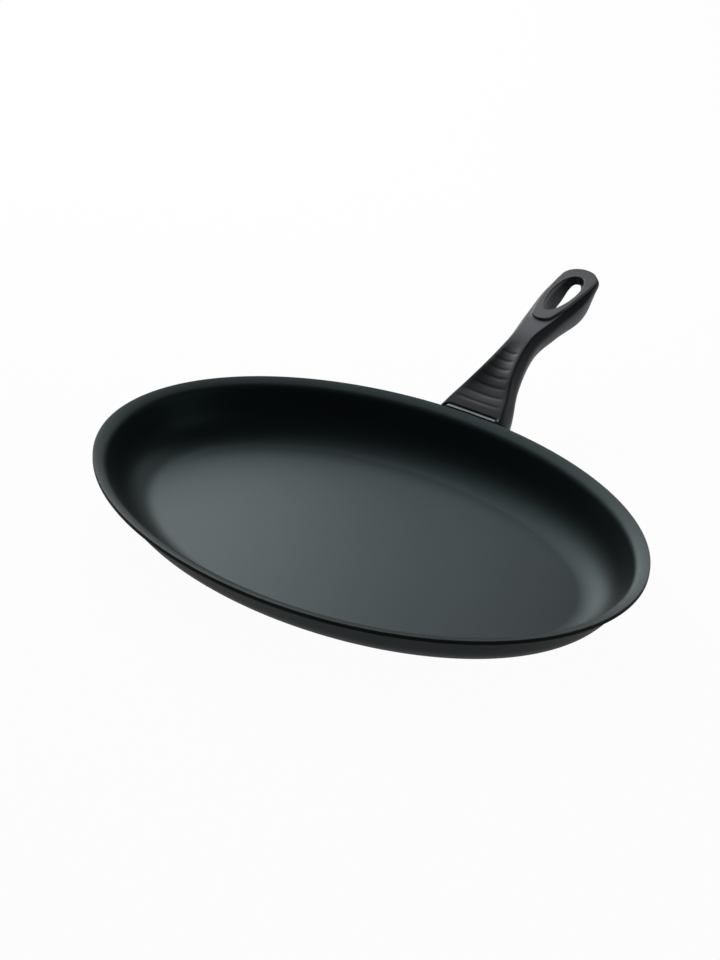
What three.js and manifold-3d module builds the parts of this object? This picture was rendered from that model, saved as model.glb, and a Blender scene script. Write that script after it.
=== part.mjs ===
// Oval fish pan: a pressed aluminium body with a turned-out lip, and a moulded grip on one long side.
//
// Frame, in millimetres: the origin is the middle of the base's underside, X runs along the oval,
// +Y points to the handle and +Z is up. The grip's own sizes are measured from the lip's edge
// (outwards along +Y) and from the plane of the lip (up along +Z).

import * as THREE from 'three';
import { mergeVertices } from 'three/addons/utils/BufferGeometryUtils.js';
import Module from 'manifold-3d';

const wasm = await Module();
wasm.setup();

// Fits
const SEAT_GAP = 0.3;           // between pieces that seat on each other

// Pan body
const RIM_LENGTH = 400;         // over the lip, along X
const RIM_WIDTH = 280;          // over the lip, along Y
const PAN_DEPTH = 34;           // inside, from the lip to the floor
const GAUGE = 3.2;              // thickness of the sheet
const LIP_WIDTH = 4;            // straight part of the turned-out lip
const LIP_FALL = 8;             // degrees that the lip falls inwards
const LIP_RADIUS = 8;           // bend from lip to wall, on the cooking side
const WALL_ANGLE = 62;          // degrees from the floor
const FLOOR_RADIUS = 32;        // bend from wall to floor, on the cooking side
const GROOVE_COUNT = 3;         // oval rings stamped in the underside
const GROOVE_PITCH = 24;        // from ring to ring
const GROOVE_WIDTH = 3;
const GROOVE_DEPTH = 0.6;

// Grip: lengths run from the lip's edge
const GRIP_SETBACK = 3;         // front edge of the grip's top
const GRIP_LENGTH = 169;        // to the tip
const GRIP_CHEEK_REACH = 9;     // the cheeks reach in under the lip by this much
const ROOT_HALF_WIDTH = 22.9;   // top face, at the pan
const SHOULDER_HALF_WIDTH = 19;
const SHOULDER_AT = 17;
const THROAT_HALF_WIDTH = 11.7;
const THROAT_AT = 38.5;
const WAIST_HALF_WIDTH = 7.5;
const WAIST_AT = 70;
const EYE_HALF_WIDTH = 14.4;    // also the radius of the tip
const EYE_NECK_HALF_WIDTH = 10.8;
const EYE_NECK_BEHIND = 6;      // from the pad's crescent to the neck
const ROOT_RISE = 2.4;          // height of the top face over the lip, at the pan
const SHOULDER_RISE = 8.3;
const THROAT_RISE = 20.8;
const WAIST_RISE = 32.6;
const EYE_NECK_RISE = 37;
const TIP_RISE = 46.6;
const ROOT_THICKNESS = 24;
const THROAT_THICKNESS = 21.5;
const WAIST_THICKNESS = 18.5;
const EYE_NECK_THICKNESS = 16.8;
const EYE_THICKNESS = 19;
const HULL_THICKNESS = 17;      // the underside curves up from here to the tip
const HULL_LENGTH = 13;         // from there to the middle of the round tip
const BOW_THICKNESS = 6.4;      // at the middle of the round tip
const TIP_THICKNESS = 4;
const TOP_EDGE = 1;             // rounded-off edge of the top face
const FACET_AT_ROOT = 12;       // height of the slanted facet below the top face
const FACET_AT_WAIST = 7.5;
const FACET_AT_TIP = 3;
const BELLY_AT_ROOT = 6.4;      // how far the facet leads out past the top face
const BELLY_AT_THROAT = 5.2;
const BELLY_AT_EYE = 3.4;
const BELLY_AT_TIP = 1.2;
const UNDER_ROUND = 5;          // rounding from the sides to the underside
const UNDER_SHARE = 0.4;        // of the thickness, where that is less than the rounding

// Thumb dish and its ribs
const DISH_START = 8;
const DISH_END = 64;
const DISH_DEPTH = 1.6;
const DISH_MARGIN = 2.6;        // plain border beside the dish
const RIB_COUNT = 7;
const RIB_FIRST = 12.5;
const RIB_PITCH = 7.3;
const RIB_BOW = 0.4;            // the middle of each rib lies nearer to the pan
const RIB_RADIUS = 1.5;         // of the groove
const RIB_DEPTH = 0.55;

// Raised pad and hanging eye
const PAD_REACH = 12.7;         // from the crescent step at the pan side to the eye
const PAD_ROUND = 8.3;          // radius of the crescent
const PAD_SPREAD = 14;          // degrees that each side of the pad turns out past the crescent
const PAD_RISE = 1.8;
const PAD_ROOT = 2;             // the pad is moulded on, so it goes this far into the grip
const PAD_BORDER = 0.4;         // from the pad's edge to the grip's outline
const PAD_EDGE = 0.5;
const EYE_TIP_WALL = 12.8;      // from the eye to the tip
const EYE_LENGTH = 50.5;
const EYE_WIDTH = 18.4;         // at the top of the pad
const EYE_SKEW = 0.16;          // the eye is wider towards the tip by this share
const EYE_TAPER = 3.4;          // each side of the eye leans in by this much at its narrowest
const EYE_END_TAPER = 1.5;      // and each end by this much
const EYE_RIM = 4.5;            // depth of the upright wall, below the pad
const EYE_PARTING = 0.62;       // share of the thickness down to the narrowest place
const EYE_FLARE = 1;            // the eye is this much larger all round at the underside

// Bracket, guard and screw
const TONGUE_WIDTH = 16;
const TONGUE_THICKNESS = 6;
const TONGUE_LENGTH = 54;       // level distance from the foot to the tongue's end
const TONGUE_SLOPE = 25;        // degrees that the tongue climbs
const FOOT_WIDTH = 34;
const FOOT_HEIGHT = 7;
const FOOT_THICKNESS = 4;
const FOOT_DROP = 11.5;         // from the plane of the lip to the middle of the foot
const GUARD_SHEET = 1.6;
const GUARD_CORNER = 2.4;
const GUARD_STEP = 1.7;         // the guard's top lies this far below the grip's front edge
const GUARD_TUCK = 3;           // the guard goes this far into the grip
const CHEEK_WALL = 1.6;         // grip beside the guard, at the top face
const SCREW_AT = 40;            // along the tongue, from the foot
const SCREW_RADIUS = 2.5;
const SCREW_BITE = 1.5;         // the screw stops this far short of the tongue's top
const SCREW_HEAD_RADIUS = 4.5;
const SCREW_HEAD_HEIGHT = 2.6;
const SCREW_CROSS_WIDTH = 1.1;
const SCREW_CROSS_DEPTH = 1.4;
const SCREW_SEAT = 2.6;         // grip between the tongue and the washer
const WASHER_RADIUS = 4.5;
const WASHER_THICKNESS = 1.2;
const WASHER_SPLIT = 0.8;

// Facets
const OVAL_SEGMENTS = 72;
const ROUND_SEGMENTS = 24;
const EYE_SEGMENTS = 36;
const LIP_STEPS = 4;
const FLOOR_STEPS = 7;
const GRIP_STATIONS = 30;
const TIP_STEPS = 8;
const PAD_STEPS = 6;
const PAD_STATIONS = 10;
const RIB_STEPS = 8;
const RIB_SIDES = 4;
const CORNER_STEPS = 3;

// Worked out from the sizes above
const HALF_LENGTH = RIM_LENGTH / 2;
const HALF_WIDTH = RIM_WIDTH / 2;
const OVAL_STRETCH = HALF_LENGTH - HALF_WIDTH;
const PAN_HEIGHT = PAN_DEPTH + GAUGE;
const TIP_CENTRE = GRIP_LENGTH - EYE_HALF_WIDTH;
const EYE_END = GRIP_LENGTH - EYE_TIP_WALL;
const EYE_START = EYE_END - EYE_LENGTH;
const EYE_MIDDLE = (EYE_START + EYE_END) / 2;
const PAD_START = EYE_START - PAD_REACH;
const EYE_NECK_AT = PAD_START + EYE_NECK_BEHIND;
const GUARD_HALF_WIDTH = ROOT_HALF_WIDTH - CHEEK_WALL - SEAT_GAP;
const GUARD_TOP = ROOT_RISE - GUARD_STEP;
const GUARD_BACK = GRIP_SETBACK + GUARD_TUCK;
const GUARD_HEIGHT = GUARD_TOP + FOOT_DROP + FOOT_HEIGHT / 2 + SEAT_GAP + GUARD_SHEET;
const SHANK_HOLE = SCREW_RADIUS + SEAT_GAP;
const SEAT_LEVEL = TONGUE_THICKNESS / 2 + SEAT_GAP + SCREW_SEAT;
const WASHER_LEVEL = SEAT_LEVEL + SEAT_GAP;
const HEAD_LEVEL = WASHER_LEVEL + WASHER_THICKNESS + SEAT_GAP;

const radians = THREE.MathUtils.degToRad;

// Solids: a closed geometry becomes a solid that can be cut and joined, and goes back to a geometry
function solid(geometry) {
  const bare = geometry.index ? geometry.toNonIndexed() : geometry.clone();
  bare.deleteAttribute('normal');
  bare.deleteAttribute('uv');
  const merged = mergeVertices(bare, 1e-4);
  const corner = merged.index.array;
  const kept = [];
  for (let i = 0; i < corner.length; i += 3) {
    const [a, b, c] = [corner[i], corner[i + 1], corner[i + 2]];
    if (a !== b && b !== c && c !== a) kept.push(a, b, c);
  }
  const vertProperties = new Float32Array(merged.attributes.position.array);
  const triVerts = new Uint32Array(kept);
  return new wasm.Manifold(new wasm.Mesh({ numProp: 3, vertProperties, triVerts }));
}

function geometryOf(body) {
  const mesh = body.getMesh();
  const geometry = new THREE.BufferGeometry();
  geometry.setAttribute('position', new THREE.BufferAttribute(new Float32Array(mesh.vertProperties), 3));
  geometry.setIndex(Array.from(mesh.triVerts));
  geometry.computeVertexNormals();
  return geometry;
}

// A skin over rings of points, all with as many points. The last ring may lie flat and need no cap
function loft(rings, lastCap = true) {
  const count = rings[0].length;
  const points = rings.flat();
  const index = [];
  for (let r = 0; r + 1 < rings.length; r += 1) {
    for (let i = 0; i < count; i += 1) {
      const j = (i + 1) % count;
      const [a, b] = [r * count + i, r * count + j];
      index.push(a, b, b + count, a, b + count, a + count);
    }
  }
  const cap = points.length;
  const end = (rings.length - 1) * count;
  points.push(middle(rings[0]), middle(rings[rings.length - 1]));
  for (let i = 0; i < count; i += 1) {
    const j = (i + 1) % count;
    index.push(cap, j, i);
    if (lastCap) index.push(cap + 1, end + i, end + j);
  }
  const geometry = new THREE.BufferGeometry().setFromPoints(points);
  geometry.setIndex(index);
  return geometry;
}

function middle(ring) {
  const sum = ring.reduce((total, point) => total.add(point), new THREE.Vector3());
  return sum.divideScalar(ring.length);
}

// A curve of one value along the grip, through pairs of place and value
function along(pairs) {
  const points = pairs.map(([place, value]) => new THREE.Vector3(place, value, 0));
  const curve = new THREE.CatmullRomCurve3(points, false, 'centripetal');
  const samples = curve.getPoints(240);
  return (place) => {
    const after = samples.findIndex((sample) => sample.x >= place);
    if (after < 0) return samples[samples.length - 1].y;
    if (after === 0) return samples[0].y;
    const [low, high] = [samples[after - 1], samples[after]];
    return THREE.MathUtils.mapLinear(place, low.x, high.x, low.y, high.y);
  };
}

// Pan body: the sheet's section, as distance in from the lip's edge, height and slope
function sheetSection() {
  const fall = radians(LIP_FALL);
  const steep = radians(WALL_ANGLE);
  const path = [];
  let inset = 0;
  let height = PAN_HEIGHT;
  const mark = (slope) => path.push({ inset, height, slope });
  mark(fall);
  inset += LIP_WIDTH;
  height -= LIP_WIDTH * Math.tan(fall);
  mark(fall);
  const bend = (radius, from, to, steps) => {
    const [startInset, startHeight] = [inset, height];
    const side = Math.sign(to - from);
    for (let i = 1; i <= steps; i += 1) {
      const slope = from + ((to - from) * i) / steps;
      inset = startInset + side * radius * (Math.sin(slope) - Math.sin(from));
      height = startHeight + side * radius * (Math.cos(slope) - Math.cos(from));
      mark(slope);
    }
  };
  bend(LIP_RADIUS, fall, steep, LIP_STEPS);
  const drop = height - GAUGE - FLOOR_RADIUS * (1 - Math.cos(steep));
  inset += drop / Math.tan(steep);
  height -= drop;
  mark(steep);
  bend(FLOOR_RADIUS, steep, 0, FLOOR_STEPS);
  return path;
}

// The section moved out by a distance, with its first point back on the lip's edge
function movedOut(path, distance) {
  return path.map(({ inset, height, slope }, i) => {
    if (i === 0) return new THREE.Vector2(0, height - distance / Math.cos(slope));
    return new THREE.Vector2(inset - distance * Math.sin(slope), height - distance * Math.cos(slope));
  });
}

// A profile of inset and height turned into an oval: rings keep one distance from the lip's edge
function ovalLathe(profile) {
  const points = profile.map(({ x, y }) => new THREE.Vector2(HALF_WIDTH - x, y));
  const geometry = new THREE.LatheGeometry(points, OVAL_SEGMENTS);
  geometry.rotateX(Math.PI / 2);
  const position = geometry.attributes.position;
  for (let i = 0; i < position.count; i += 1) {
    const turn = (2 * Math.PI * Math.floor(i / points.length)) / OVAL_SEGMENTS;
    position.setX(i, position.getX(i) + OVAL_STRETCH * Math.sin(turn));
  }
  return geometry;
}

function panBody() {
  const path = sheetSection();
  const inside = movedOut(path, 0);
  const outside = movedOut(path, GAUGE);
  const baseEdge = outside[outside.length - 1].x;
  const base = [new THREE.Vector2(HALF_WIDTH, 0)];
  for (let i = GROOVE_COUNT; i >= 1; i -= 1) {
    const at = baseEdge + i * GROOVE_PITCH;
    base.push(new THREE.Vector2(at + GROOVE_WIDTH / 2, 0));
    base.push(new THREE.Vector2(at + GROOVE_WIDTH / 4, GROOVE_DEPTH));
    base.push(new THREE.Vector2(at - GROOVE_WIDTH / 4, GROOVE_DEPTH));
    base.push(new THREE.Vector2(at - GROOVE_WIDTH / 2, 0));
  }
  const floorMiddle = new THREE.Vector2(HALF_WIDTH, GAUGE);
  const profile = [...base, ...outside.reverse(), ...inside, floorMiddle];
  return solid(ovalLathe(profile));
}

// The space that the pan takes up, with the seat gap round it
function panSpace() {
  const outside = movedOut(sheetSection(), GAUGE + SEAT_GAP);
  outside[0] = new THREE.Vector2(-SEAT_GAP, outside[0].y);
  const top = PAN_HEIGHT + TIP_RISE;
  const profile = [
    new THREE.Vector2(HALF_WIDTH, -SEAT_GAP),
    ...outside.reverse(),
    new THREE.Vector2(-SEAT_GAP, top),
    new THREE.Vector2(HALF_WIDTH, top),
  ];
  return solid(ovalLathe(profile));
}

// Grip: its top line, half width, thickness and swell along its length
const topRise = along([
  [-GRIP_CHEEK_REACH, ROOT_RISE], [0, ROOT_RISE], [SHOULDER_AT, SHOULDER_RISE],
  [THROAT_AT, THROAT_RISE], [WAIST_AT, WAIST_RISE], [EYE_NECK_AT, EYE_NECK_RISE],
  [GRIP_LENGTH, TIP_RISE - PAD_RISE], [GRIP_LENGTH + EYE_HALF_WIDTH, TIP_RISE - PAD_RISE],
]);
const halfWidth = along([
  [-GRIP_CHEEK_REACH, ROOT_HALF_WIDTH], [0, ROOT_HALF_WIDTH], [SHOULDER_AT, SHOULDER_HALF_WIDTH],
  [THROAT_AT, THROAT_HALF_WIDTH], [WAIST_AT, WAIST_HALF_WIDTH], [EYE_NECK_AT, EYE_NECK_HALF_WIDTH],
  [TIP_CENTRE - EYE_HALF_WIDTH, EYE_HALF_WIDTH], [TIP_CENTRE, EYE_HALF_WIDTH],
]);
const thickness = along([
  [-GRIP_CHEEK_REACH, ROOT_THICKNESS], [SHOULDER_AT, ROOT_THICKNESS], [THROAT_AT, THROAT_THICKNESS],
  [WAIST_AT, WAIST_THICKNESS], [EYE_NECK_AT, EYE_NECK_THICKNESS], [EYE_MIDDLE, EYE_THICKNESS],
  [TIP_CENTRE - HULL_LENGTH, HULL_THICKNESS], [TIP_CENTRE, BOW_THICKNESS],
  [GRIP_LENGTH + BELLY_AT_TIP, TIP_THICKNESS],
]);
const facet = along([
  [-GRIP_CHEEK_REACH, FACET_AT_ROOT], [SHOULDER_AT, FACET_AT_ROOT], [WAIST_AT, FACET_AT_WAIST],
  [TIP_CENTRE, FACET_AT_TIP],
]);
const swell = along([
  [-GRIP_CHEEK_REACH, BELLY_AT_ROOT], [0, BELLY_AT_ROOT], [THROAT_AT, BELLY_AT_THROAT],
  [EYE_NECK_AT, BELLY_AT_EYE], [EYE_MIDDLE, BELLY_AT_EYE], [TIP_CENTRE, BELLY_AT_TIP],
]);

// The thumb dish is deepest in its middle and fades out towards its ends and the plain border
function dishDrop(place, share) {
  const part = (place - DISH_START) / (DISH_END - DISH_START);
  if (part <= 0 || part >= 1 || share >= 1) return 0;
  return DISH_DEPTH * Math.sin(Math.PI * part) * (1 - share * share);
}

// Half of the grip's section, as side and drop, from the middle of the top to the underside
function gripSection(place) {
  const half = halfWidth(place);
  const deep = thickness(place);
  const belly = half + swell(place);
  const dishHalf = half - DISH_MARGIN;
  const round = Math.min(UNDER_ROUND, UNDER_SHARE * deep);
  const top = [0, 0.3, 0.6, 0.85, 1].map((share) => [share * dishHalf, -dishDrop(place, share)]);
  return [
    ...top,
    [half - TOP_EDGE, 0],
    [half, -TOP_EDGE],
    [belly, -facet(place)],
    [belly, round - deep],
    [belly - 0.3 * round, 0.3 * round - deep],
    [belly - round, -deep],
    [0, -deep],
  ];
}

// Half of the pad's section, on top of the grip
function padSection(half) {
  return [
    [0, PAD_RISE],
    [half - PAD_EDGE, PAD_RISE],
    [half, PAD_RISE - PAD_EDGE],
    [half, -PAD_ROOT],
    [0, -PAD_ROOT],
  ];
}

// A ring that stands across the grip, or is turned about the middle of the rounded tip and thins out there
function acrossGrip(section, place, turn = 0) {
  const mirrored = section.slice(1, -1).reverse().map(([side, drop]) => [-side, drop]);
  return [...section, ...mirrored].map(([side, drop]) => {
    const out = place + Math.abs(side) * Math.sin(turn);
    const thin = drop < 0 ? thickness(out) / thickness(place) : 1;
    return onGrip(side * Math.cos(turn), out, drop * thin);
  });
}

// A point by its side, its distance past the lip's edge and its height over the grip's top line
function onGrip(side, out, lift) {
  return new THREE.Vector3(side, HALF_WIDTH + out, PAN_HEIGHT + topRise(out) + lift);
}

function roundTip(section) {
  const rings = [];
  for (let i = 1; i <= TIP_STEPS; i += 1) {
    rings.push(acrossGrip(section, TIP_CENTRE, ((Math.PI / 2) * i) / TIP_STEPS));
  }
  return rings;
}

function gripBlank() {
  const rings = [];
  for (let i = 0; i <= GRIP_STATIONS; i += 1) {
    const place = THREE.MathUtils.lerp(-GRIP_CHEEK_REACH, TIP_CENTRE, i / GRIP_STATIONS);
    rings.push(acrossGrip(gripSection(place), place));
  }
  rings.push(...roundTip(gripSection(TIP_CENTRE)));
  return solid(loft(rings, false));
}

// The pad starts with a round end and then follows the grip's outline
function eyePad() {
  const rings = [];
  const ring = (place, half) => {
    const inside = Math.min(half, halfWidth(place) - PAD_BORDER);
    rings.push(acrossGrip(padSection(inside), place));
  };
  for (let i = 1; i <= PAD_STEPS; i += 1) {
    const turn = ((Math.PI / 2) * i) / PAD_STEPS;
    ring(PAD_START + PAD_ROUND * (1 - Math.cos(turn)), PAD_ROUND * Math.sin(turn));
  }
  for (let i = 1; i <= PAD_STATIONS; i += 1) {
    const past = ((TIP_CENTRE - PAD_START - PAD_ROUND) * i) / PAD_STATIONS;
    ring(PAD_START + PAD_ROUND + past, PAD_ROUND + past * Math.tan(radians(PAD_SPREAD)));
  }
  rings.push(...roundTip(padSection(EYE_HALF_WIDTH - PAD_BORDER)));
  return solid(loft(rings, false));
}

// The eye goes down upright from the pad, tapers in to where the mould parts and flares to the underside
function eyeSpace() {
  const ring = (sideIn, endIn, share, lift) => {
    const points = [];
    for (let i = 0; i < EYE_SEGMENTS; i += 1) {
      const turn = (2 * Math.PI * i) / EYE_SEGMENTS;
      const skew = 1 + EYE_SKEW * Math.sin(turn);
      const side = (EYE_WIDTH / 2 - sideIn) * skew * Math.cos(turn);
      const out = EYE_MIDDLE + (EYE_LENGTH / 2 - endIn) * Math.sin(turn);
      points.push(onGrip(side, out, lift - share * thickness(out)));
    }
    return points;
  };
  const rim = EYE_RIM / EYE_THICKNESS;
  return solid(loft([
    ring(-EYE_FLARE, -EYE_FLARE, 2, 0),
    ring(-EYE_FLARE, -EYE_FLARE, 1, 0),
    ring(EYE_TAPER, EYE_END_TAPER, EYE_PARTING, 0),
    ring(0, 0, rim, PAD_RISE),
    ring(0, 0, -1, PAD_RISE),
  ]));
}

// One curved groove across the thumb dish
function ribSpace(place) {
  const dishHalf = halfWidth(place) - DISH_MARGIN;
  const points = [-1, -0.5, 0, 0.5, 1].map((share) => {
    const out = place - RIB_BOW * (1 - share * share);
    const lift = RIB_RADIUS - RIB_DEPTH - dishDrop(out, Math.abs(share));
    return onGrip(share * dishHalf, out, lift);
  });
  const circle = new THREE.Shape().absarc(0, 0, RIB_RADIUS, 0, 2 * Math.PI);
  const extrudePath = new THREE.CatmullRomCurve3(points);
  const options = { extrudePath, steps: RIB_STEPS, curveSegments: RIB_SIDES };
  return solid(new THREE.ExtrudeGeometry(circle, options));
}

// Sections drawn in the plane of the handle, as distance past the lip and height, made wide along X
const HANDLE_PLANE = new THREE.Matrix4().makeBasis(
  new THREE.Vector3(0, 1, 0),
  new THREE.Vector3(0, 0, 1),
  new THREE.Vector3(1, 0, 0),
);

function widened(points, width) {
  const shape = new THREE.Shape(points);
  const geometry = new THREE.ExtrudeGeometry(shape, { depth: width, bevelEnabled: false });
  geometry.translate(0, 0, -width / 2);
  geometry.applyMatrix4(HANDLE_PLANE);
  geometry.translate(0, HALF_WIDTH, PAN_HEIGHT);
  return solid(geometry);
}

// The outside of the straight wall, as distance past the lip's edge, at a drop below the lip
function wallOut(drop) {
  const outside = movedOut(sheetSection(), GAUGE);
  const [high, low] = [outside[1 + LIP_STEPS], outside[2 + LIP_STEPS]];
  return -THREE.MathUtils.mapLinear(PAN_HEIGHT - drop, high.y, low.y, high.x, low.x);
}

// The tongue's middle line: from the middle of the foot, up along the slope
const tongueStart = new THREE.Vector2(wallOut(FOOT_DROP), -FOOT_DROP);
const tongueWay = new THREE.Vector2(1, 0).rotateAround(new THREE.Vector2(), radians(TONGUE_SLOPE));
const tongueUp = new THREE.Vector2(-tongueWay.y, tongueWay.x);

function tongueBar(spare) {
  const length = TONGUE_LENGTH / tongueWay.x + spare;
  const half = TONGUE_THICKNESS / 2 + spare;
  const corner = (way, up) => {
    const base = tongueStart.clone().addScaledVector(tongueWay, way);
    return base.addScaledVector(tongueUp, up);
  };
  const points = [corner(0, -half), corner(length, -half), corner(length, half), corner(0, half)];
  return widened(points, TONGUE_WIDTH + 2 * spare);
}

// A shape made along the screw's axis is put in place: its zero is the tongue's middle line
function onScrewAxis(geometry) {
  const place = tongueStart.clone().addScaledVector(tongueWay, SCREW_AT);
  geometry.rotateX(radians(TONGUE_SLOPE));
  geometry.translate(0, HALF_WIDTH + place.x, PAN_HEIGHT + place.y);
  return solid(geometry);
}

function rod(radius, low, high) {
  const geometry = new THREE.CylinderGeometry(radius, radius, high - low, ROUND_SEGMENTS);
  geometry.rotateX(Math.PI / 2);
  geometry.translate(0, 0, (low + high) / 2);
  return onScrewAxis(geometry);
}

function handleBracket() {
  const level = FOOT_THICKNESS / Math.sin(radians(WALL_ANGLE));
  const [top, bottom] = [FOOT_DROP - FOOT_HEIGHT / 2, FOOT_DROP + FOOT_HEIGHT / 2];
  const foot = widened([
    new THREE.Vector2(wallOut(bottom) - level, -bottom),
    new THREE.Vector2(wallOut(bottom) + level, -bottom),
    new THREE.Vector2(wallOut(top) + level, -top),
    new THREE.Vector2(wallOut(top) - level, -top),
  ], FOOT_WIDTH);
  const thread = rod(SHANK_HOLE, -TONGUE_THICKNESS, TONGUE_THICKNESS);
  return foot.add(tongueBar(0)).subtract(thread).subtract(panSpace());
}

// A box with rounded long edges that runs along the handle from inside the pan to a distance past the lip
function sleeve(shrink, end) {
  const half = GUARD_HALF_WIDTH - shrink;
  const top = GUARD_TOP - shrink;
  const bottom = GUARD_TOP - GUARD_HEIGHT + shrink;
  const corner = GUARD_CORNER - shrink;
  const shape = new THREE.Shape();
  shape.absarc(half - corner, top - corner, corner, 0, Math.PI / 2);
  shape.absarc(corner - half, top - corner, corner, Math.PI / 2, Math.PI);
  shape.absarc(corner - half, bottom + corner, corner, Math.PI, 1.5 * Math.PI);
  shape.absarc(half - corner, bottom + corner, corner, 1.5 * Math.PI, 2 * Math.PI);
  const options = { depth: end + HALF_WIDTH / 2, bevelEnabled: false, curveSegments: CORNER_STEPS };
  const geometry = new THREE.ExtrudeGeometry(shape, options);
  geometry.rotateX(Math.PI / 2);
  geometry.translate(0, HALF_WIDTH + end, PAN_HEIGHT);
  return solid(geometry);
}

function flameGuard() {
  const hollow = sleeve(GUARD_SHEET, GUARD_BACK - GUARD_SHEET);
  return sleeve(0, GUARD_BACK).subtract(hollow).subtract(tongueBar(SEAT_GAP)).subtract(panSpace());
}

// The front of the grip's top is cut back, so that the guard shows between it and the lip
function frontCut() {
  const width = 2 * (GUARD_HALF_WIDTH + SEAT_GAP);
  const low = GUARD_TOP - GUARD_HEIGHT / 2;
  const points = [
    new THREE.Vector2(-HALF_WIDTH / 2, low),
    new THREE.Vector2(GRIP_SETBACK, low),
    new THREE.Vector2(GRIP_SETBACK, TIP_RISE),
    new THREE.Vector2(-HALF_WIDTH / 2, TIP_RISE),
  ];
  return widened(points, width);
}

function handleGrip() {
  let grip = gripBlank().add(eyePad()).subtract(eyeSpace());
  for (let i = 0; i < RIB_COUNT; i += 1) {
    grip = grip.subtract(ribSpace(RIB_FIRST + i * RIB_PITCH));
  }
  grip = grip.subtract(sleeve(-SEAT_GAP, GUARD_BACK + SEAT_GAP)).subtract(frontCut());
  grip = grip.subtract(tongueBar(SEAT_GAP)).subtract(panSpace());
  const counterbore = rod(WASHER_RADIUS + 2 * SEAT_GAP, -2 * ROOT_THICKNESS, -SEAT_LEVEL);
  return grip.subtract(rod(SHANK_HOLE, -ROOT_THICKNESS, 0)).subtract(counterbore);
}

// Screw with a domed head and a cross recess, put in from below
function gripScrew() {
  const end = TONGUE_THICKNESS / 2 - SCREW_BITE;
  const profile = [new THREE.Vector2(0, -HEAD_LEVEL - SCREW_HEAD_HEIGHT)];
  profile.push(new THREE.Vector2(0.6 * SCREW_HEAD_RADIUS, -HEAD_LEVEL - SCREW_HEAD_HEIGHT));
  profile.push(new THREE.Vector2(SCREW_HEAD_RADIUS, -HEAD_LEVEL - 0.5 * SCREW_HEAD_HEIGHT));
  profile.push(new THREE.Vector2(SCREW_HEAD_RADIUS, -HEAD_LEVEL));
  profile.push(new THREE.Vector2(SCREW_RADIUS, -HEAD_LEVEL));
  profile.push(new THREE.Vector2(SCREW_RADIUS, end));
  profile.push(new THREE.Vector2(0, end));
  let screw = onScrewAxis(new THREE.LatheGeometry(profile, ROUND_SEGMENTS).rotateX(Math.PI / 2));
  for (const turn of [0, Math.PI / 2]) {
    const bar = new THREE.BoxGeometry(SCREW_HEAD_RADIUS, SCREW_CROSS_WIDTH, 2 * SCREW_CROSS_DEPTH);
    bar.rotateZ(turn);
    bar.translate(0, 0, -HEAD_LEVEL - SCREW_HEAD_HEIGHT);
    screw = screw.subtract(onScrewAxis(bar));
  }
  return screw;
}

// Spring washer: a split ring
function lockWasher() {
  const [low, high] = [-WASHER_LEVEL - WASHER_THICKNESS, -WASHER_LEVEL];
  const ring = rod(WASHER_RADIUS, low, high).subtract(rod(SHANK_HOLE, low - SEAT_GAP, high + SEAT_GAP));
  const split = new THREE.BoxGeometry(WASHER_RADIUS * 2, WASHER_SPLIT, WASHER_THICKNESS * 3);
  split.translate(WASHER_RADIUS, 0, (low + high) / 2);
  return ring.subtract(onScrewAxis(split));
}

// Assembly
const coated = new THREE.MeshStandardMaterial({ color: 0x2f3637, roughness: 0.5, metalness: 0.2 });
const aluminium = new THREE.MeshStandardMaterial({ color: 0x8f9496, roughness: 0.45, metalness: 0.9 });
const guardCoat = new THREE.MeshStandardMaterial({ color: 0x4c5557, roughness: 0.45, metalness: 0.4 });
const moulded = new THREE.MeshStandardMaterial({ color: 0x35393b, roughness: 0.55, metalness: 0 });
const steel = new THREE.MeshStandardMaterial({ color: 0xb4b6b8, roughness: 0.35, metalness: 1 });

const fishPan = new THREE.Group();

function place(name, body, material) {
  const mesh = new THREE.Mesh(geometryOf(body), material);
  mesh.name = name;
  fishPan.add(mesh);
}

place('pan_body', panBody(), coated);
place('handle_bracket', handleBracket(), aluminium);
place('flame_guard', flameGuard(), guardCoat);
place('handle_grip', handleGrip(), moulded);
place('grip_screw', gripScrew(), steel);
place('lock_washer', lockWasher(), steel);

export default fishPan;
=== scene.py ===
# %% [markdown]
# # An oval fish pan
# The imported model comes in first, as a fixed frame in metres. Its origin is the middle of the base's
# underside, X runs along the oval, +Y points to the handle and +Z is up. The solids say where each
# piece lies and how far it reaches. The cells below give the pieces their smooth shapes and finishes.

# %% Load the frame
from math import atan2, cos, pi, radians, sin, sqrt, tan

import bmesh
import bpy
from mathutils import Matrix, Vector


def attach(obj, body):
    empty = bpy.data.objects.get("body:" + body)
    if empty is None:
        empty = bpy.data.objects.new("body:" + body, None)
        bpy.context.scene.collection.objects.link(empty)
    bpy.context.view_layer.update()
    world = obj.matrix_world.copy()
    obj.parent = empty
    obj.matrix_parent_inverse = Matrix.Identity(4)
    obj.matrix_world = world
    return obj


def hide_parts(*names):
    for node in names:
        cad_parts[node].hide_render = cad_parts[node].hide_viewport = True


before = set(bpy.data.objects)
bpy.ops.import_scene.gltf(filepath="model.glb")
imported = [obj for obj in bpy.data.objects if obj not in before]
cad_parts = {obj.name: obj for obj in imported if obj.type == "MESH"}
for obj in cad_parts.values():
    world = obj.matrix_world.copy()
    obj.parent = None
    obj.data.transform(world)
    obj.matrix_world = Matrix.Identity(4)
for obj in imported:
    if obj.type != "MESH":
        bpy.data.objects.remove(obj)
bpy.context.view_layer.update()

print("solids:", sorted(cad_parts))

# %% [markdown]
# ## Camera
# The view is from the front, to the right and above, with a long lens. The camera is tilted a little,
# so the pan seems to lean to the right. A camera could be aimed with a constraint, but here its three
# axes are worked out, because then the tilt and the small turn off the pan's middle are plain numbers.

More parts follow.
